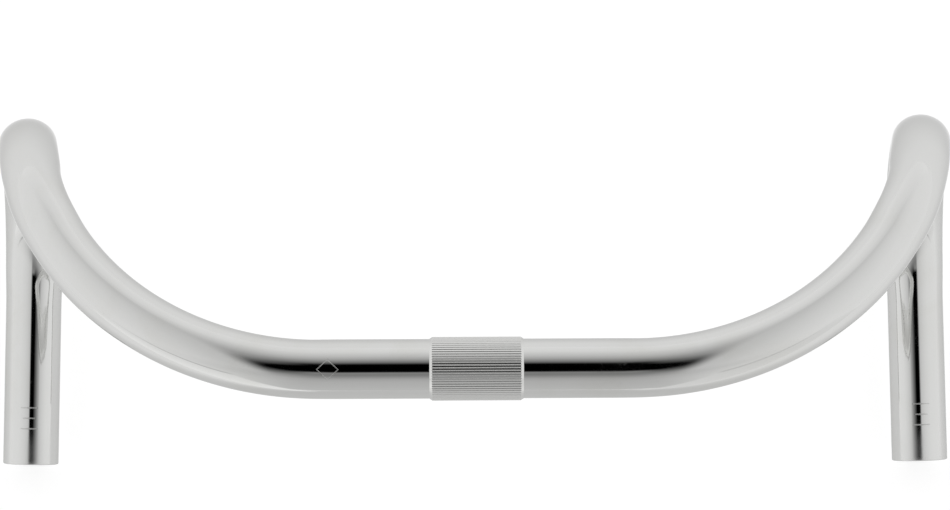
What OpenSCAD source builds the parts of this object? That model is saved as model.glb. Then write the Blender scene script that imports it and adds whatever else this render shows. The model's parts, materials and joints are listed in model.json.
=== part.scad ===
// Track drop handlebar: one steel tube bent to shape and open at both ends, with
// a fluted clamp sleeve fixed round its middle. All sizes are in millimetres and
// degrees.
//
// Frame: the origin is the centre of the sleeve, +X runs along the clamp axis,
// +Y points forward to the hooks and +Z points up, with the drops level below.
//
// Each half of the tube is four bends in a row, as a tube bender makes them:
// feed a straight length, roll the tube about its own axis, then bend it.

/* [Tube] */
// Outside diameter of the tube
tube_d = 23.8; // [22.2:0.1:25.4]
// Thickness of the tube's wall
tube_wall = 1.1; // [0.8:0.1:1.6]

/* [Clamp sleeve] */
// Outside diameter over the crests of the flutes
sleeve_d = 25.4; // [25.4:0.1:27]
// Length of the sleeve from end to end
sleeve_length = 37.4; // [30:0.2:50]
// Length of the sloping rim at each end
rim_length = 1.1; // [0.8:0.1:3]
// Height of the step where a rim meets the tube
rim_step = 0.1; // [0.05:0.05:0.3]
// Number of flutes round the sleeve
flute_count = 72; // [36:4:80]
// Radius of the round cutter that makes a flute
flute_radius = 0.2; // [0.16:0.02:0.3]
// Depth of a flute below the crests
flute_depth = 0.18; // [0.1:0.02:0.2]

/* [Sweep: the tops curve forward and down] */
// Straight half of the tops, from the centre plane to the first bend
tops_straight = 62.5; // [50:0.5:90]
// Roll that turns the sweep downward from level
sweep_roll = 30.5; // [15:0.5:45]
// Radius of the sweep, to the tube's centre line
sweep_radius = 123; // [90:1:150]
// Angle of the sweep
sweep_angle = 61; // [45:0.5:70]

/* [Shoulder: the sweep turns down into the hook] */
// Straight between the sweep and the shoulder
shoulder_straight = 2.5; // [0:0.5:20]
// Roll from the plane of the sweep to the plane of the shoulder
shoulder_roll = 44; // [30:0.5:60]
// Radius of the shoulder, to the tube's centre line
shoulder_radius = 71.5; // [55:0.5:90]
// Angle of the shoulder
shoulder_angle = 26.5; // [15:0.5:35]

/* [Hook: the front of the bar turns down and back] */
// Roll from the plane of the shoulder to the plane of the upper hook
upper_hook_roll = 49.5; // [35:0.5:65]
// Radius of the upper hook, to the tube's centre line
upper_hook_radius = 52; // [40:0.5:70]
// Angle of the upper hook
upper_hook_angle = 64.5; // [50:0.5:75]
// Roll from the plane of the upper hook to the plane of the lower hook
lower_hook_roll = 10; // [0:0.5:20]
// Radius of the lower hook, to the tube's centre line
lower_hook_radius = 60; // [50:0.5:75]
// Angle of the lower hook
lower_hook_angle = 65.5; // [55:0.5:75]

/* [Drop: the grip that runs back to the open end] */
// Straight length of the drop, up to its open end
drop_straight = 77; // [50:1:120]

/* [Hidden] */
$fn = 96;
tube_r = tube_d / 2;
bore_r = tube_r - tube_wall;
sleeve_r = sleeve_d / 2;
lip_r = tube_wall / 2;
seam_gap = 0.01;
seam_inset = 0.05;
seam_length = 0.4;
flute_pitch = 360 / flute_count;
flute_centre_r = sleeve_r + flute_radius - flute_depth;
flute_length = sleeve_length + 2;
flute_sides = 24;

// Angle of a bend that takes up a given length of its centre line.
function degrees_along(length, radius) = length / radius * 180 / PI;

// Ring of metal that the tube shows when it is cut across.
module tube_section() {
    difference() {
        circle(tube_r);
        circle(bore_r);
    }
}

// Straight tube along +X.
module tube_straight(length) {
    if (length > 0)
        rotate([0, 90, 0])
            linear_extrude(length)
                tube_section();
}

// Bent tube that starts along +X, turns towards +Y and stops a hairline short of
// its full angle.
module tube_bend(radius, angle) {
    translate([0, radius, 0])
        rotate([0, 0, -90])
            rotate_extrude(angle = angle - degrees_along(seam_gap, radius))
                translate([radius, 0])
                    tube_section();
}

// Ring inside the wall that bridges the hairline between a bend and the next
// length of tube, so that the two are one solid.
module seam() {
    rotate([0, 90, 0])
        linear_extrude(seam_length, center = true)
            difference() {
                circle(tube_r - seam_inset);
                circle(bore_r + seam_inset);
            }
}

// One step of the bender. What follows it is placed at the end of the bend.
module bend_step(feed, roll, radius, angle) {
    rotate([-roll, 0, 0]) {
        tube_straight(feed);
        translate([feed, 0, 0]) {
            tube_bend(radius, angle);
            translate([radius * sin(angle), radius * (1 - cos(angle)), 0])
                rotate([0, 0, angle]) {
                    seam();
                    children();
                }
        }
    }
}

// Straight drop along +X with a rounded lip round its open end.
module drop_end() {
    rotate([0, 90, 0])
        rotate_extrude()
            translate([bore_r, 0]) {
                square([tube_wall, drop_straight - lip_r]);
                translate([lip_r, drop_straight - lip_r])
                    circle(lip_r);
            }
}

// Tube from the centre plane out to one open end.
module half_tube() {
    bend_step(tops_straight, sweep_roll, sweep_radius, sweep_angle)
        bend_step(shoulder_straight, shoulder_roll, shoulder_radius, shoulder_angle)
            bend_step(0, upper_hook_roll, upper_hook_radius, upper_hook_angle)
                bend_step(0, lower_hook_roll, lower_hook_radius, lower_hook_angle)
                    drop_end();
}

module bar_tube() {
    color("gainsboro") {
        half_tube();
        mirror([1, 0, 0])
            half_tube();
    }
}

// Sleeve before it is fluted, with its axis along +Z: a plain ring whose two rims
// slope down to the tube.
module sleeve_blank() {
    half_length = sleeve_length / 2;
    flat_end = half_length - rim_length;
    rim_r = tube_r + rim_step;
    rotate_extrude()
        polygon([
            [tube_r, -half_length],
            [rim_r, -half_length],
            [sleeve_r, -flat_end],
            [sleeve_r, flat_end],
            [rim_r, half_length],
            [tube_r, half_length]
        ]);
}

// The first flute sits half a pitch round, so that a crest is uppermost.
module clamp_sleeve() {
    color("silver")
        rotate([0, 90, 0])
            difference() {
                sleeve_blank();
                for (turn = [0 : flute_count - 1])
                    rotate([0, 0, (turn + 0.5) * flute_pitch])
                        translate([flute_centre_r, 0, 0])
                            cylinder(r = flute_radius, h = flute_length, center = true, $fn = flute_sides);
            }
}

bar_tube();
clamp_sleeve();
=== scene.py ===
import json
import math

import bpy
import numpy as np
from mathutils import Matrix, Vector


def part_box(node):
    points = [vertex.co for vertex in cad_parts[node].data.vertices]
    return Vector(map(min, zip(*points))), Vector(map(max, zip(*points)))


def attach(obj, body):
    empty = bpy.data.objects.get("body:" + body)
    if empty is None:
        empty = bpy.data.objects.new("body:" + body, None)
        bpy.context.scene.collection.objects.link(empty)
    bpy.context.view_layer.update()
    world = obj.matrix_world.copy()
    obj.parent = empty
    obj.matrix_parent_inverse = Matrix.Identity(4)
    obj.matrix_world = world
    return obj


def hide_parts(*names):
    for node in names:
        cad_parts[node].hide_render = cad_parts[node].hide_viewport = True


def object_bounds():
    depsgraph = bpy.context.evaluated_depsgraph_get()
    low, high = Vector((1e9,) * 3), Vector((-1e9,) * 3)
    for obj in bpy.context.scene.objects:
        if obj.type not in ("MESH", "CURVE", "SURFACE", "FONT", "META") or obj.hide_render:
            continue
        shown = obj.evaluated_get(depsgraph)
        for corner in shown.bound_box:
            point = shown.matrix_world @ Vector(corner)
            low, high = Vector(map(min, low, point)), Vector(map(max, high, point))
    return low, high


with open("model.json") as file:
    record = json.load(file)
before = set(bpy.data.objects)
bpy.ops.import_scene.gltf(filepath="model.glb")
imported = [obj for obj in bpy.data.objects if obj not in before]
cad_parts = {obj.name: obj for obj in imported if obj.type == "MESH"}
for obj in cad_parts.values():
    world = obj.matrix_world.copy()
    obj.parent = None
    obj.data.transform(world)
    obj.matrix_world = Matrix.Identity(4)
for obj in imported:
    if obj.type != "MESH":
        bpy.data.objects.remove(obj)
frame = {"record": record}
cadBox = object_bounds()
print("frame loaded, box", [[round(v, 4) for v in corner] for corner in cadBox])

mm = 0.001
mounts = {mount["name"]: mount for mount in frame["record"]["mounts"]}
tubeRadius = mounts["right_grip"]["dims"]["r_mm"] * mm
boreRadius = mounts["right_end_bore"]["dims"]["r_mm"] * mm
crestRadius = mounts["clamp_sleeve"]["dims"]["r_mm"] * mm
crestLength = mounts["clamp_sleeve"]["dims"]["length_mm"] * mm
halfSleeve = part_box("clamp_sleeve")[1][0]
floorHeight = float(cadBox[0][2])

# the tube as a bender makes it, from the centre plane out: feed, roll down, bend
barPath = {
    "bends": [
        {"feed": 62.5 * mm, "roll": 30.5, "radius": 123 * mm, "angle": 61},  # sweep
        {"feed": 2.5 * mm, "roll": 44, "radius": 71.5 * mm, "angle": 26.5},  # shoulder
        {"feed": 0.0, "roll": 49.5, "radius": 52 * mm, "angle": 64.5},  # upper hook
        {"feed": 0.0, "roll": 10, "radius": 60 * mm, "angle": 65.5},  # lower hook
    ],
    "dropLength": 77 * mm,
}
tubeMesh = {
    "flattening": 0.16,  # how much the tube flattens in a bend, against its curvature
    "flatteningReach": 9 * mm,  # over which the flattening fades in along the tube
    "around": 112,  # faces round the tube
    "outerSpacing": 1.5 * mm,  # between rings on the outside
    "innerSpacing": 5 * mm,  # between rings in the bore
    "lipSteps": 10,  # rings round each open end's rounded lip
}


# Puts a grid of points into a mesh that is closed both ways, so the last row and column
# join the first. around and along are the UV values of the columns and rows, with one
# more value for each closing edge, and unbent is each point's place before the bending.
def gridMesh(name, points, around, along, unbent):
    rows, columns = points.shape[:2]
    index = np.arange(rows * columns).reshape(rows, columns)
    index = np.vstack([index, index[:1]])
    index = np.hstack([index, index[:, :1]])
    corners = ((0, 0), (0, 1), (1, 1), (1, 0))
    faces = np.stack([index[i:i + rows, j:j + columns] for i, j in corners], -1)
    mesh = bpy.data.meshes.new(name)
    mesh.from_pydata(points.reshape(-1, 3), [], faces.reshape(-1, 4))
    mesh.polygons.foreach_set("use_smooth", np.ones(rows * columns, bool))
    u, v = np.meshgrid(around, along)
    uvGrid = np.stack([u, v], -1)
    uvCorners = np.stack([uvGrid[i:i + rows, j:j + columns] for i, j in corners], 2)
    mesh.uv_layers.new(name="barMap").data.foreach_set("uv", uvCorners.ravel().astype(np.float32))
    places = mesh.attributes.new("unbent", "FLOAT_VECTOR", "POINT")
    places.data.foreach_set("vector", unbent.reshape(-1).astype(np.float32))
    mesh.update()
    piece = bpy.data.objects.new(name, mesh)
    bpy.context.scene.collection.objects.link(piece)
    return piece


# The stretches of one half, each with the frame at its start. A roll turns the bending
# plane about the tube's own axis, and the ring's angle is carried back by as much, so
# that the tube is never twisted.
def barStretches(path):
    place, ahead, inward = np.zeros(3), np.array([1.0, 0, 0]), np.array([0, 1.0, 0])
    ringAngle, distance, stretches = 0.0, 0.0, []
    steps = [(b["feed"], b["roll"], b["radius"], b["angle"]) for b in path["bends"]]
    steps.append((path["dropLength"], 0, 0, 0))
    for feed, roll, radius, angle in steps:
        turn = math.radians(roll)
        side = np.cross(ahead, inward)
        inward = math.cos(turn) * inward - math.sin(turn) * side
        ringAngle += turn
        bendCurve = 1 / radius if radius else 0.0
        for length, curve in ((feed, 0.0), (radius * math.radians(angle), bendCurve)):
            if length == 0:
                continue
            stretches.append((distance, curve, place, ahead, inward, ringAngle))
            swing = curve * length
            if curve:
                place = place + (math.sin(swing) * ahead + (1 - math.cos(swing)) * inward) / curve
                ahead, inward = (math.cos(swing) * ahead + math.sin(swing) * inward,
                                 math.cos(swing) * inward - math.sin(swing) * ahead)
            else:
                place = place + length * ahead
            distance += length
    return stretches, distance


barHalf, halfLength = barStretches(barPath)


# Centre line and ring directions at signed distances from the middle. On a bend of
# curvature k the centre is the start plus sin(ku)/k ahead plus (1 - cos(ku))/k inward,
# and the left half is the right half mirrored in X.
def barFrames(distances):
    starts = np.array([stretch[0] for stretch in barHalf])
    which = np.searchsorted(starts, np.abs(distances), side="right") - 1
    which = np.clip(which, 0, len(starts) - 1)
    curve = np.array([stretch[1] for stretch in barHalf])[which][:, None]
    place, ahead, inward = (np.array([stretch[k] for stretch in barHalf])[which] for k in (2, 3, 4))
    ringAngle = np.array([stretch[5] for stretch in barHalf])[which][:, None]
    along = (np.abs(distances) - starts[which])[:, None]
    swing = curve * along
    safeCurve = np.where(curve > 0, curve, 1)
    reach = np.where(curve > 0, np.sin(swing) / safeCurve, along)
    rise = np.where(curve > 0, (1 - np.cos(swing)) / safeCurve, 0)
    centre = place + reach * ahead + rise * inward
    side = np.cross(ahead, inward)
    inward = np.cos(swing) * inward - np.sin(swing) * ahead
    first = np.cos(ringAngle) * inward + np.sin(ringAngle) * side
    second = np.cos(ringAngle) * side - np.sin(ringAngle) * inward
    sign = np.where(distances < 0, -1.0, 1.0)
    mirror = np.stack([sign, np.abs(sign), np.abs(sign)], -1)
    return centre * mirror, first * mirror, second * mirror


# A bent tube is a little narrower in the plane of its bend and wider across it. The
# bend's strength and plane come from the second difference of the centre line.
def flattened(distances, spokes, settings):
    reach = settings["flatteningReach"]
    before, here, after = (barFrames(distances + step)[0] for step in (-reach, 0, reach))
    curvature = (before - 2 * here + after) / reach ** 2
    strength = np.linalg.norm(curvature, axis=1, keepdims=True)
    plane = (curvature / (strength + 1e-6))[:, None]
    share = (settings["flattening"] * tubeRadius * strength)[:, None]
    inPlane = (spokes * plane).sum(-1, keepdims=True) * plane
    return spokes * (1 + share) - 2 * share * inPlane


# One closed surface: the tube's wall section, out along the outside, round the lip and
# back through the bore, carried round the bar. A point is the centre line plus the
# section's radius in the direction of its ring angle.
def makeTube(settings):
    lip = (tubeRadius - boreRadius) / 2
    middle = (tubeRadius + boreRadius) / 2
    straightEnd = halfLength - lip
    outer = np.linspace(-straightEnd, straightEnd, round(2 * straightEnd / settings["outerSpacing"]))
    inner = np.linspace(straightEnd, -straightEnd, round(2 * straightEnd / settings["innerSpacing"]))
    turn = np.linspace(0, np.pi, settings["lipSteps"] + 1)[1:-1]
    rightLip, lipRadii = straightEnd + lip * np.sin(turn), middle + lip * np.cos(turn)
    distances = np.concatenate([outer, rightLip, inner, -rightLip])
    radii = np.concatenate([outer * 0 + tubeRadius, lipRadii, inner * 0 + boreRadius, lipRadii[::-1]])
    angles = np.linspace(-np.pi / 2, 3 * np.pi / 2, settings["around"] + 1)
    centre, first, second = barFrames(distances)
    ring = angles[None, :-1, None]
    spokes = radii[:, None, None] * (np.cos(ring) * first[:, None] + np.sin(ring) * second[:, None])
    points = centre[:, None] + flattened(distances, spokes, settings)
    flat = ring[..., 0]
    unbent = np.stack([distances[:, None] + 0 * flat, radii[:, None] * np.cos(flat),
                       radii[:, None] * np.sin(flat)], -1)
    around = (angles - np.pi / 2) * tubeRadius
    along = np.append(distances, distances[0])
    piece = gridMesh("barTubePolished", points, around, along, unbent)
    inBore = (radii == boreRadius) & (np.roll(radii, -1) == boreRadius)
    whichMaterial = np.repeat(inBore, settings["around"]).astype(np.int32)
    piece.data.polygons.foreach_set("material_index", whichMaterial)
    return piece


sleeveMesh = {
    "flutes": 72,
    "fluteWidth": 0.4 * mm,  # across a groove at the crests
    "fluteDepth": 0.18 * mm,
    "grooveShape": 0.65,  # 0.5 is a round bottom, and 1 a parabola
    "facesPerFlute": 14,
    "rimStep": 0.1 * mm,  # height of the rim's end above the tube
    "edgeRound": 0.03 * mm,  # softening where a rim or a groove meets a crest
    "endRound": 0.05 * mm,  # radius of the rim's outer corner
    "sunk": 0.05 * mm,  # how far the inner wall sits inside the tube's wall
    "flatRows": 10,
    "flatRowsEnd": 0.4 * mm,  # before the crests end
    "rimRows": 22,
    "rimRowsStart": 0.3 * mm,
    "endSteps": 5,
}


# The smaller of two heights, with the corner between them rounded.
def softMin(a, b, softness):
    return 0.5 * (a + b - np.sqrt((a - b) ** 2 + softness ** 2))


# The sleeve's radius is the smaller of two: an envelope that is level over the crests
# and slopes down to the rims, and a crest circle with round-bottomed grooves. The
# profile is closed by a small round corner, the end wall and an inner wall.
def makeSleeve(settings):
    crestEnd = crestLength / 2
    rimRadius = tubeRadius + settings["rimStep"]
    slope = (crestRadius - rimRadius) / (halfSleeve - crestEnd)
    flat = np.linspace(0, crestEnd - settings["flatRowsEnd"], settings["flatRows"])
    rim = np.linspace(crestEnd - settings["rimRowsStart"], halfSleeve - settings["endRound"],
                      settings["rimRows"])
    halfPlaces = np.concatenate([flat, rim])
    places = np.concatenate([-halfPlaces[:0:-1], halfPlaces])
    envelope = softMin(crestRadius + 0 * places, rimRadius + slope * (halfSleeve - np.abs(places)),
                       settings["edgeRound"])
    steps = settings["flutes"] * settings["facesPerFlute"]
    angles = np.linspace(-np.pi / 2, 3 * np.pi / 2, steps + 1)
    pitch = 2 * np.pi / settings["flutes"]
    fromGroove = (np.mod(angles[:-1] - np.pi / 2, pitch) - pitch / 2) * crestRadius
    across = np.clip(np.abs(fromGroove) / (settings["fluteWidth"] / 2), 0, 1)
    groove = crestRadius - settings["fluteDepth"] * (1 - across ** 2) ** settings["grooveShape"]
    outer = softMin(envelope[:, None], groove[None, :], settings["edgeRound"] / 2)
    turn = np.linspace(0, np.pi / 2, settings["endSteps"])
    cornerPlaces = halfSleeve - settings["endRound"] * (1 - np.sin(turn))
    cornerDrops = settings["endRound"] * (1 - np.cos(turn))
    endRadii = outer[-1][None, :] - cornerDrops[1:, None]
    innerPlaces = np.array([halfSleeve, 0, -halfSleeve])
    inner = np.full((len(innerPlaces), steps), tubeRadius - settings["sunk"])
    allPlaces = np.concatenate([places, cornerPlaces[1:], innerPlaces, -cornerPlaces[:0:-1]])
    radii = np.concatenate([outer, endRadii, inner, endRadii[::-1]])
    ring = angles[None, :-1]
    points = np.stack([allPlaces[:, None] + 0 * ring, radii * np.cos(ring), radii * np.sin(ring)], -1)
    around = (angles - np.pi / 2) * crestRadius
    along = np.append(allPlaces, allPlaces[0])
    return gridMesh("clampSleeveFluted", points, around, along, points)


barTube = makeTube(tubeMesh)
print("tube made,", len(barTube.data.polygons), "faces")
clampSleeve = makeSleeve(sleeveMesh)
print("sleeve made,", len(clampSleeve.data.polygons), "faces")


# Adds a node with its settings, and fills its inputs by name, or by number after a _,
# with values or links.
def addNode(tree, kind, settings=None, **inputs):
    node = tree.nodes.new("ShaderNode" + kind)
    for key, value in (settings or {}).items():
        setattr(node, key, value)
    for key, value in inputs.items():
        socket = node.inputs[int(key[1:]) if key[0] == "_" else key.replace("_", " ")]
        if isinstance(value, bpy.types.NodeSocket):
            tree.links.new(value, socket)
        else:
            socket.default_value = value
    return node


def mathNode(tree, operation, first, second=0.0, third=0.0):
    node = addNode(tree, "Math", {"operation": operation}, _0=first, _1=second, _2=third)
    return node.outputs[0]


def distanceFrom(tree, value, middle):
    return mathNode(tree, "ABSOLUTE", mathNode(tree, "SUBTRACT", value, middle))


def vectorNode(tree, operation, first, second=(0, 0, 0)):
    return addNode(tree, "VectorMath", {"operation": operation}, _0=first, _1=second).outputs


# A value carried from one range to another, held at the ends.
def rangeNode(tree, value, fromLow, fromHigh, toLow=0.0, toHigh=1.0, smooth=False):
    settings = {"interpolation_type": "SMOOTHSTEP" if smooth else "LINEAR"}
    node = addNode(tree, "MapRange", settings, Value=value, From_Min=fromLow, From_Max=fromHigh,
                   To_Min=toLow, To_Max=toHigh)
    return node.outputs[0]


# An empty node group with its named sockets, given as (name, type, default).
def newGroup(name, inputs, outputs):
    group = bpy.data.node_groups.new(name, "ShaderNodeTree")
    for label, kind, default in inputs:
        socket = group.interface.new_socket(label, in_out="INPUT", socket_type="NodeSocket" + kind)
        if default is not None:
            socket.default_value = default
    for label, kind in outputs:
        group.interface.new_socket(label, in_out="OUTPUT", socket_type="NodeSocket" + kind)
    given = group.nodes.new("NodeGroupInput").outputs
    result = group.nodes.new("NodeGroupOutput").inputs
    return group, given, result


def useGroup(tree, group, **inputs):
    return addNode(tree, "Group", {"node_tree": group}, **inputs).outputs


# Polish Lines: fine lines that a buffing wheel leaves along the tube, as noise drawn
# out lengthwise, over slow waves that the mandrel and the wheel leave in the wall.
def makePolishLines():
    group, given, result = newGroup(
        "Polish Lines",
        [("Place", "Vector", None), ("Line Spacing", "Float", 1.2 * mm),
         ("Line Length", "Float", 60 * mm), ("Wave Spacing", "Float", 18 * mm)],
        [("Lines", "Float"), ("Waves", "Float")])
    acrossScale = mathNode(group, "DIVIDE", 1.0, given["Line Spacing"])
    alongScale = mathNode(group, "DIVIDE", 1.0, given["Line Length"])
    stretch = addNode(group, "CombineXYZ", None, X=alongScale, Y=acrossScale, Z=acrossScale)
    drawn = vectorNode(group, "MULTIPLY", given["Place"], stretch.outputs[0])[0]
    lines = addNode(group, "TexNoise", None, Vector=drawn, Scale=1.0, Detail=5.0, Roughness=0.6)
    waveScale = mathNode(group, "DIVIDE", 1.0, given["Wave Spacing"])
    waves = addNode(group, "TexNoise", None, Vector=given["Place"], Scale=waveScale, Detail=1.0,
                    Roughness=0.4)
    group.links.new(lines.outputs[0], result["Lines"])
    group.links.new(waves.outputs[0], result["Waves"])
    return group


wearPattern = {
    "smudgeRange": (0.45, 0.75),  # of the noise, where a smudge starts and is full
    "scratchTurns": ((0.5, 0.3, 0.5), (-0.8, 0.3, -0.8)),  # radians, for the two slants
    "scratchStretch": (0.12, 1, 1),
    "scratchWidth": 0.012,  # of the noise, either side of its middle value
    "patchRange": (0.52, 0.66),  # of the noise, where scratches start and are full
}


# Handling Wear: hazy smudges as broad noise with a soft threshold, and hairline
# scratches where either of two slanted, drawn-out noises is close to its middle value,
# kept to patches.
def makeHandlingWear(settings):
    group, given, result = newGroup(
        "Handling Wear",
        [("Place", "Vector", None), ("Smudge Size", "Float", 30 * mm),
         ("Scratch Spacing", "Float", 5 * mm)],
        [("Smudges", "Float"), ("Scratches", "Float")])
    smudgeScale = mathNode(group, "DIVIDE", 1.0, given["Smudge Size"])
    cloud = addNode(group, "TexNoise", None, Vector=given["Place"], Scale=smudgeScale, Detail=6.0,
                    Roughness=0.62, Distortion=0.6)
    smudges = rangeNode(group, cloud.outputs[0], *settings["smudgeRange"], smooth=True)
    scratchScale = mathNode(group, "DIVIDE", 1.0, given["Scratch Spacing"])
    slants = []
    for turn in settings["scratchTurns"]:
        turned = addNode(group, "Mapping", None, Vector=given["Place"], Rotation=turn)
        drawn = vectorNode(group, "MULTIPLY", turned.outputs[0], settings["scratchStretch"])[0]
        noise = addNode(group, "TexNoise", None, Vector=drawn, Scale=scratchScale, Detail=2.0)
        away = distanceFrom(group, noise.outputs[0], 0.5)
        slants.append(rangeNode(group, away, 0.0, settings["scratchWidth"], 1.0, 0.0, smooth=True))
    both = mathNode(group, "MAXIMUM", *slants)
    patches = addNode(group, "TexNoise", None, Vector=given["Place"], Scale=smudgeScale, Detail=3.0)
    gate = rangeNode(group, patches.outputs[0], *settings["patchRange"], smooth=True)
    group.links.new(smudges, result["Smudges"])
    group.links.new(mathNode(group, "MULTIPLY", both, gate), result["Scratches"])
    return group


polishLines = makePolishLines()
handlingWear = makeHandlingWear(wearPattern)


# A bare metal whose glancing reflection is held back by edgeTint, as chromium's is.
def newMetal(name, color, edgeTint=0.75):
    material = bpy.data.materials.new(name)
    material.use_nodes = True
    material.diffuse_color = color
    tree = material.node_tree
    shader = tree.nodes["Principled BSDF"]
    shader.inputs["Metallic"].default_value = 1.0
    shader.inputs["Specular Tint"].default_value = (edgeTint, edgeTint, edgeTint, 1)
    return material, tree, shader


def unbentPlace(tree):
    return addNode(tree, "Attribute", {"attribute_name": "unbent"}).outputs["Vector"]


# The two shared effects on a surface, with the sizes that its settings give.
def surfaceEffects(tree, place, settings):
    polish = useGroup(tree, polishLines, Place=place, **settings["polish"])
    wear = useGroup(tree, handlingWear, Place=place, **settings["wear"])
    return polish, wear


# Raises a surface by a height in metres where the mask is one.
def bumpNode(tree, height, mask, **inputs):
    return addNode(tree, "Bump", None, Strength=1.0, Distance=height, Height=mask, **inputs).outputs[0]


def mixColors(tree, amount, first, second):
    return addNode(tree, "Mix", {"data_type": "RGBA"}, _0=amount, _6=first, _7=second).outputs[2]


# The ring angle that faces straight up on the drops, as a distance round the tube.
def upwardOnDrop(distance):
    first, second = barFrames(np.array([distance]))[1:]
    angle = math.atan2(second[0, 2], first[0, 2])
    return math.remainder(angle - math.pi / 2, 2 * math.pi) * tubeRadius


etching = {
    "diamondPlace": -59 * mm,  # along the tops from the middle
    "diamondSize": 4.2 * mm,  # from its middle to a corner
    "lineWidth": 0.42 * mm,
    "lineFade": 1.6,  # outer edge of a line's soft side, against its half width
    "ticksPlace": 413 * mm,  # along the bar from the middle, on both drops
    "tickPitch": 4.5 * mm,
    "tickLengths": (7 * mm, 5.25 * mm, 7 * mm),
}


# Etched lines, as a mask from the map of the tube: a hollow diamond where the distances
# along and around sum to its size, and short ticks across each drop.
def etchedMask(tree, settings):
    barMap = addNode(tree, "UVMap", {"uv_map": "barMap"}).outputs[0]
    around, along = addNode(tree, "SeparateXYZ", None, Vector=barMap).outputs[:2]
    half = settings["lineWidth"] / 2
    fade = half * settings["lineFade"]
    alongDiamond = distanceFrom(tree, along, settings["diamondPlace"])
    reach = mathNode(tree, "ADD", mathNode(tree, "ABSOLUTE", around), alongDiamond)
    fromLine = distanceFrom(tree, reach, settings["diamondSize"])
    mask = rangeNode(tree, fromLine, half, fade, 1.0, 0.0)
    fromTop = distanceFrom(tree, around, upwardOnDrop(settings["ticksPlace"]))
    eitherSide = mathNode(tree, "ABSOLUTE", along)
    middleTick = (len(settings["tickLengths"]) - 1) / 2
    for step, length in enumerate(settings["tickLengths"]):
        place = settings["ticksPlace"] + (step - middleTick) * settings["tickPitch"]
        line = rangeNode(tree, distanceFrom(tree, eitherSide, place), half, fade, 1.0, 0.0)
        ends = rangeNode(tree, fromTop, length / 2, length / 2 + half, 1.0, 0.0)
        mask = mathNode(tree, "MAXIMUM", mask, mathNode(tree, "MULTIPLY", line, ends))
    return mask


polishedTube = {
    "chrome": (0.556, 0.557, 0.549, 1),
    "haze": (0.535, 0.535, 0.52, 1),
    "etched": (0.47, 0.47, 0.46, 1),
    "roughness": 0.045,
    # what is added to the roughness in smudges, scratches, etched lines and at the
    # open ends, where the plate is duller
    "hazeRoughness": 0.05,
    "scratchRoughness": 0.06,
    "etchedRoughness": 0.32,
    "endRoughness": 0.16,
    "endReach": (22 * mm, 6 * mm),  # from the end, where it starts and where it is full
    "polish": {"Line Spacing": 1.3 * mm, "Line Length": 70 * mm, "Wave Spacing": 22 * mm},
    "wear": {"Smudge Size": 34 * mm, "Scratch Spacing": 6 * mm},
    "lineHeight": 2.2e-6,
    "waveHeight": 14e-6,
    "etchedDepth": 30e-6,
    "etchedStrength": 0.5,
}


def makePolishedTube(settings):
    material, tree, shader = newMetal("Polished Tube Chrome", settings["chrome"])
    place = unbentPlace(tree)
    polish, wear = surfaceEffects(tree, place, settings)
    etched = etchedMask(tree, etching)
    color = mixColors(tree, wear["Smudges"], settings["chrome"], settings["haze"])
    color = mixColors(tree, etched, color, settings["etched"])
    tree.links.new(color, shader.inputs["Base Color"])
    along = addNode(tree, "SeparateXYZ", None, Vector=place).outputs[0]
    fromEnd = mathNode(tree, "SUBTRACT", halfLength, mathNode(tree, "ABSOLUTE", along))
    nearEnd = rangeNode(tree, fromEnd, *settings["endReach"], smooth=True)
    rough = settings["roughness"]
    for mask, added in ((wear["Smudges"], "hazeRoughness"), (wear["Scratches"], "scratchRoughness"),
                        (nearEnd, "endRoughness"), (etched, "etchedRoughness")):
        rough = mathNode(tree, "MULTIPLY_ADD", mask, settings[added], rough)
    tree.links.new(rough, shader.inputs["Roughness"])
    waves = bumpNode(tree, settings["waveHeight"], polish["Waves"])
    lines = bumpNode(tree, settings["lineHeight"], polish["Lines"], Normal=waves)
    sunk = addNode(tree, "Bump", {"invert": True}, Strength=settings["etchedStrength"],
                   Distance=settings["etchedDepth"], Height=etched, Normal=lines)
    tree.links.new(sunk.outputs[0], shader.inputs["Normal"])
    return material


boreSteel = {
    "steel": (0.46, 0.45, 0.43, 1),
    "stain": (0.26, 0.19, 0.13, 1),
    "stainShare": 0.75,
    "roughness": 0.42,
    "stainRoughness": 0.72,
    "polish": {"Line Spacing": 1.8 * mm, "Line Length": 90 * mm},
    "wear": {"Smudge Size": 16 * mm},
    "lineHeight": 12e-6,
}


# The inside of the tube is bare drawn steel, with lengthwise draw marks and dull stains.
def makeBoreSteel(settings):
    material, tree, shader = newMetal("Bore Drawn Steel", settings["steel"])
    polish, wear = surfaceEffects(tree, unbentPlace(tree), settings)
    tone = mathNode(tree, "MULTIPLY", wear["Smudges"], settings["stainShare"])
    color = mixColors(tree, tone, settings["steel"], settings["stain"])
    tree.links.new(color, shader.inputs["Base Color"])
    rough = rangeNode(tree, wear["Smudges"], 0, 1, settings["roughness"], settings["stainRoughness"])
    tree.links.new(rough, shader.inputs["Roughness"])
    tree.links.new(bumpNode(tree, settings["lineHeight"], polish["Lines"]), shader.inputs["Normal"])
    return material


flutedSleeve = {
    "chrome": (0.565, 0.565, 0.555, 1),
    "groove": (0.60, 0.60, 0.59, 1),
    "roughness": 0.06,
    "grooveRoughness": 0.34,
    "grooveTop": 0.04 * mm,  # below the crests, where the groove's finish starts
    "grooveFade": 0.3 * mm,  # past the crests' ends, where it stops
    "smudgeShare": 0.3,
    "polish": {"Line Spacing": 0.5 * mm, "Line Length": 9 * mm},
    "wear": {"Smudge Size": 12 * mm},
    "lineHeight": 1.2e-6,
}


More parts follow.
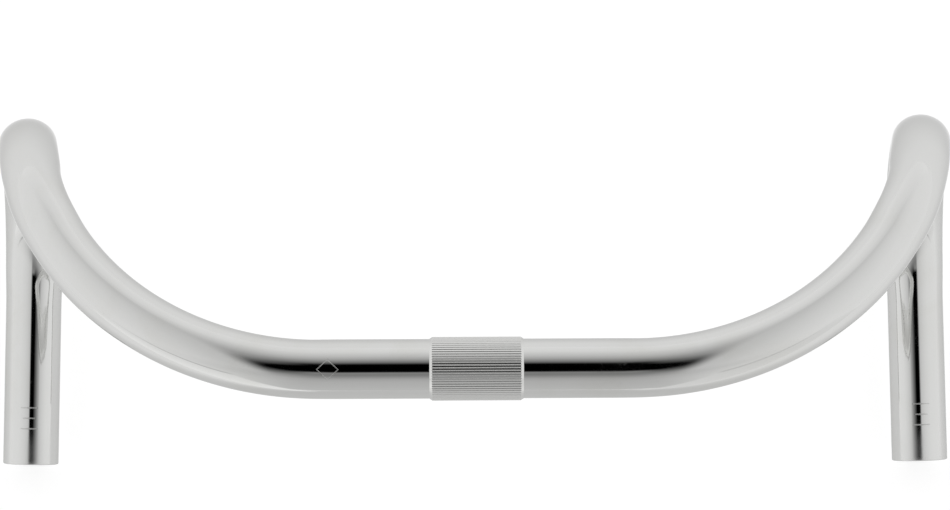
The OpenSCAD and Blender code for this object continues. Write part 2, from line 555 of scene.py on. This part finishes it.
# The sleeve's crests and rims are bright, and the grooves duller. How deep a point is
# comes from its distance from the axis.
def makeFlutedSleeve(settings):
    material, tree, shader = newMetal("Fluted Sleeve Chrome", settings["chrome"])
    place = unbentPlace(tree)
    polish, wear = surfaceEffects(tree, place, settings)
    split = addNode(tree, "SeparateXYZ", None, Vector=place).outputs
    flat = addNode(tree, "CombineXYZ", None, Y=split[1], Z=split[2]).outputs[0]
    radius = vectorNode(tree, "LENGTH", flat)["Value"]
    fromMiddle = mathNode(tree, "ABSOLUTE", split[0])
    grooveFoot, grooveTop = crestRadius - sleeveMesh["fluteDepth"], crestRadius - settings["grooveTop"]
    depth = rangeNode(tree, radius, grooveFoot, grooveTop, 1.0, 0.0)
    crestEnd = crestLength / 2
    onFlutes = rangeNode(tree, fromMiddle, crestEnd, crestEnd + settings["grooveFade"], 1.0, 0.0)
    groove = mathNode(tree, "MULTIPLY", depth, onFlutes)
    smudge = mathNode(tree, "MULTIPLY", wear["Smudges"], settings["smudgeShare"])
    dull = mathNode(tree, "MAXIMUM", groove, smudge)
    color = mixColors(tree, dull, settings["chrome"], settings["groove"])
    tree.links.new(color, shader.inputs["Base Color"])
    rough = rangeNode(tree, dull, 0, 1, settings["roughness"], settings["grooveRoughness"])
    tree.links.new(rough, shader.inputs["Roughness"])
    tree.links.new(bumpNode(tree, settings["lineHeight"], polish["Lines"]), shader.inputs["Normal"])
    return material


barTube.data.materials.append(makePolishedTube(polishedTube))
barTube.data.materials.append(makeBoreSteel(boreSteel))
clampSleeve.data.materials.append(makeFlutedSleeve(flutedSleeve))
print("materials made")

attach(barTube, "root")
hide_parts("bar_tube")
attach(clampSleeve, "root")
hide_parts("clamp_sleeve")

studio = {
    # brightness against degrees from straight up, towards the front, back and sides
    "front": [(0, 0), (17, 0), (20, 0.06), (26, 0.27), (40, 0.66), (50, 0.86), (70, 1.14),
              (90, 1.23)],
    "back": [(0, 0), (10, 0), (15, 0.37), (22, 0.32), (28, 0.40), (40, 0.64), (52, 0.73),
             (90, 0.83)],
    "sides": [(0, 0), (12, 0), (16, 0.1), (22, 0.28), (30, 0.58), (40, 0.8), (50, 0.93),
              (60, 1.05), (90, 1.27)],
    "aheadBlend": (-0.02, 0.02),  # forward part of a direction, where back turns to front
    "sidewaysBlend": (0.08, 0.6),  # sideways share of it, where the sides start and are full
    "floorSize": 40.0,
    "floorWhite": 1.06,  # brightness of the floor as the camera sees it
    "floorShade": 0.35,  # diffuse share that takes the soft shade under the bar
    "floorLight": 0.8,  # the room's light on that share, which is taken off the glow
    # brightness of the floor in reflections, from back to front and out to the sides
    "floorBack": 0.88,
    "floorFront": 1.2,
    "floorSides": 1.22,
    "floorTurn": (-0.5, 0.5),  # y where the back's value ends and the front's starts
    "floorAside": (0.1, 0.45),  # x where the sides' value starts to show and is full
    "secondBounce": 1.5,  # brightening of what the chrome reflects a second time
    # tall white panels slanting down on each side, as (x, z) of their edges, seen only
    # in reflections, with their glow against the share of the way down
    "sideTop": (0.215, 0.60),
    "sideFoot": (1.1, -0.15),
    "sideReach": (-0.5, 1.2),  # y of their two ends
    "sideGlow": [(0, 0.80), (0.1, 0.90), (0.2, 1.02), (0.3, 1.10), (0.45, 1.18), (1, 1.24)],
    "sideFade": 0.085,  # share of the height over which the top edge fades
    "sideEndFades": (0.3, 0.5),  # lengths over which the two ends fade
    # white panels behind the bar on each side, leaning away from a gap in the middle,
    # each with a grey strip along its top
    "rearPlace": -1.2,
    "rearReach": (0.13, 2.6),  # x of the inner edge at the floor, and of the outer edge
    "rearLean": 0.75,  # how far the inner edge leans out, against its height
    "rearTop": 0.62,
    "stripTop": 0.73,
    "rearGlow": {"left": [(0, 1.15), (1, 1.35)], "right": [(0, 1.05), (1, 1.12)]},
    "rearFade": 0.02,
    "stripGlow": [(0, 0.72), (1, 0.72)],
    "stripFade": 0.3,
}


# A brightness curve as a colour ramp, over values from 0 to the last point's.
def glowCurve(tree, value, points):
    ramp = addNode(tree, "ValToRGB", None, Fac=value)
    while len(ramp.color_ramp.elements) < len(points):
        ramp.color_ramp.elements.new(0.5)
    for element, (place, level) in zip(ramp.color_ramp.elements, points):
        element.position = place / points[-1][0]
        element.color = (level, level, level, 1)
    return ramp.outputs[0]


# One for a floor or a panel that the camera or a first reflection sees, and more from
# the second reflection on.
def bounceGain(tree, settings):
    path = addNode(tree, "LightPath").outputs
    reflections = mathNode(tree, "SUBTRACT", path["Ray Depth"], path["Transparent Depth"])
    later = mathNode(tree, "GREATER_THAN", reflections, 1.5)
    again = mathNode(tree, "MULTIPLY", later, path["Is Glossy Ray"])
    return rangeNode(tree, again, 0, 1, 1.0, settings["secondBounce"])


# The room's light: three curves, for the front, the back and the sides, blended by how
# far a direction leans each way.
def makeRoom(settings):
    world = bpy.data.worlds.new("Soft Room")
    bpy.context.scene.world = world
    world.use_nodes = True
    tree = world.node_tree
    direction = addNode(tree, "TexCoord").outputs["Generated"]
    split = addNode(tree, "SeparateXYZ", None, Vector=direction).outputs
    angle = mathNode(tree, "DIVIDE", mathNode(tree, "ARCCOSINE", split[2]), math.pi / 2)
    level = addNode(tree, "CombineXYZ", None, X=split[0], Y=split[1]).outputs[0]
    sideways = vectorNode(tree, "NORMALIZE", level)[0]
    xShare = addNode(tree, "SeparateXYZ", None, Vector=sideways).outputs[0]
    share = rangeNode(tree, mathNode(tree, "ABSOLUTE", xShare), *settings["sidewaysBlend"], smooth=True)
    front, back, sides = (glowCurve(tree, angle, settings[way]) for way in ("front", "back", "sides"))
    ahead = rangeNode(tree, split[1], *settings["aheadBlend"])
    light = mixColors(tree, share, mixColors(tree, ahead, back, front), sides)
    tree.links.new(light, tree.nodes["Background"].inputs["Color"])


# One flat face of the studio through the given corners. With onlyReflected it shows in
# the metal but not by itself.
def stageFace(name, corners, material, onlyReflected=False):
    mesh = bpy.data.meshes.new(name)
    mesh.from_pydata(corners, [], [tuple(range(len(corners)))])
    mesh.materials.append(material)
    face = bpy.data.objects.new(name, mesh)
    bpy.context.scene.collection.objects.link(face)
    if onlyReflected:
        face.visible_camera = False
        face.visible_diffuse = False
        face.visible_shadow = False


def emptyMaterial(name):
    material = bpy.data.materials.new(name)
    material.use_nodes = True
    tree = material.node_tree
    tree.nodes.remove(tree.nodes["Principled BSDF"])
    return material, tree, tree.nodes["Material Output"].inputs["Surface"]


def objectPlace(tree):
    place = addNode(tree, "TexCoord").outputs["Object"]
    return addNode(tree, "SeparateXYZ", None, Vector=place).outputs


# A pale floor that glows by itself, so that it stays white under the bar, with a small
# diffuse share. In reflections it has its own brightness, which falls from front to back.
def makeFloor(settings):
    material, tree, surface = emptyMaterial("Pale Floor")
    place = objectPlace(tree)
    reflected = rangeNode(tree, place[1], *settings["floorTurn"], settings["floorBack"],
                          settings["floorFront"], smooth=True)
    aside = rangeNode(tree, mathNode(tree, "ABSOLUTE", place[0]), *settings["floorAside"], smooth=True)
    reflected = rangeNode(tree, aside, 0, 1, reflected, settings["floorSides"])
    seen = addNode(tree, "LightPath").outputs["Is Camera Ray"]
    level = rangeNode(tree, seen, 0, 1, reflected, settings["floorWhite"])
    shade = settings["floorShade"]
    level = mathNode(tree, "SUBTRACT", level, shade * settings["floorLight"])
    level = mathNode(tree, "MULTIPLY", level, bounceGain(tree, settings))
    glow = addNode(tree, "Emission", None, Strength=level)
    diffuse = addNode(tree, "BsdfDiffuse", None, Color=(shade, shade, shade, 1))
    both = addNode(tree, "AddShader", None, _0=glow.outputs[0], _1=diffuse.outputs[0])
    tree.links.new(both.outputs[0], surface)
    half = settings["floorSize"] / 2
    corners = [(half * i, half * j, floorHeight) for i, j in ((-1, -1), (1, -1), (1, 1), (-1, 1))]
    stageFace("paleFloor", corners, material)


# A glowing panel. Its glow follows a curve down its height, its top edge fades out over
# a share of the height, and its two ends over their own lengths.
def panelMaterial(name, settings, low, high, glow, fadeTop, ends=()):
    material, tree, surface = emptyMaterial(name)
    place = objectPlace(tree)
    down = rangeNode(tree, place[2], high, low)
    level = mathNode(tree, "MULTIPLY", glowCurve(tree, down, glow), bounceGain(tree, settings))
    mask = rangeNode(tree, down, 0, fadeTop, smooth=True)
    for end, fade in ends:
        inside = rangeNode(tree, place[1], end, end + fade, smooth=True)
        mask = mathNode(tree, "MULTIPLY", mask, inside)
    shine = addNode(tree, "Emission", None, Strength=level).outputs[0]
    clear = addNode(tree, "BsdfTransparent").outputs[0]
    tree.links.new(addNode(tree, "MixShader", None, _0=mask, _1=clear, _2=shine).outputs[0], surface)
    return material


# White panels slanting down on each side.
def makeSidePanels(settings):
    (topX, topZ), (footX, footZ) = settings["sideTop"], settings["sideFoot"]
    near, far = settings["sideReach"]
    nearFade, farFade = settings["sideEndFades"]
    material = panelMaterial("Side Panel", settings, footZ, topZ, settings["sideGlow"],
                             settings["sideFade"], [(near, nearFade), (far, -farFade)])
    for name, side in (("left", -1), ("right", 1)):
        corners = [(side * topX, near, topZ), (side * topX, far, topZ),
                   (side * footX, far, footZ), (side * footX, near, footZ)]
        stageFace(name + "SidePanel", corners, material, onlyReflected=True)


# Upright panels behind, each with a strip along its top.
def makeRearPanels(settings):
    rearTop, stripTop = settings["rearTop"], settings["stripTop"]
    innerX, outerX = settings["rearReach"]
    back, lean = settings["rearPlace"], settings["rearLean"]
    grey = panelMaterial("Grey Strip", settings, rearTop, stripTop, settings["stripGlow"],
                         settings["stripFade"])
    for name, side in (("left", -1), ("right", 1)):
        white = panelMaterial("Rear Panel " + name, settings, floorHeight, rearTop,
                              settings["rearGlow"][name], settings["rearFade"])
        for part, material, low, high in (("RearPanel", white, floorHeight, rearTop),
                                          ("GreyStrip", grey, rearTop, stripTop)):
            lowX, highX = (side * (innerX + lean * (height - floorHeight)) for height in (low, high))
            corners = [(lowX, back, low), (side * outerX, back, low),
                       (side * outerX, back, high), (highX, back, high)]
            stageFace(name + part, corners, material, onlyReflected=True)


makeRoom(studio)
makeFloor(studio)
makeSidePanels(studio)
makeRearPanels(studio)
print("studio made")

view = {
    "place": (-8.73 * mm, 23.04 * mm, 1700 * mm),
    "roll": -0.2635,  # degrees about the line of sight
    "lens": 161.96,  # on the usual 36 mm sensor
    "shift": (0.0218, 0.0587),
    "clip": (0.05, 100),
}
cameraData = bpy.data.cameras.new("aboveCamera")
cameraData.lens = view["lens"]
cameraData.shift_x, cameraData.shift_y = view["shift"]
cameraData.clip_start, cameraData.clip_end = view["clip"]
camera = bpy.data.objects.new("aboveCamera", cameraData)
camera.location = view["place"]
camera.rotation_euler = (0, 0, math.radians(view["roll"]))
bpy.context.scene.collection.objects.link(camera)
bpy.context.scene.camera = camera
bpy.context.scene.view_settings.view_transform = "Standard"
print("camera set")
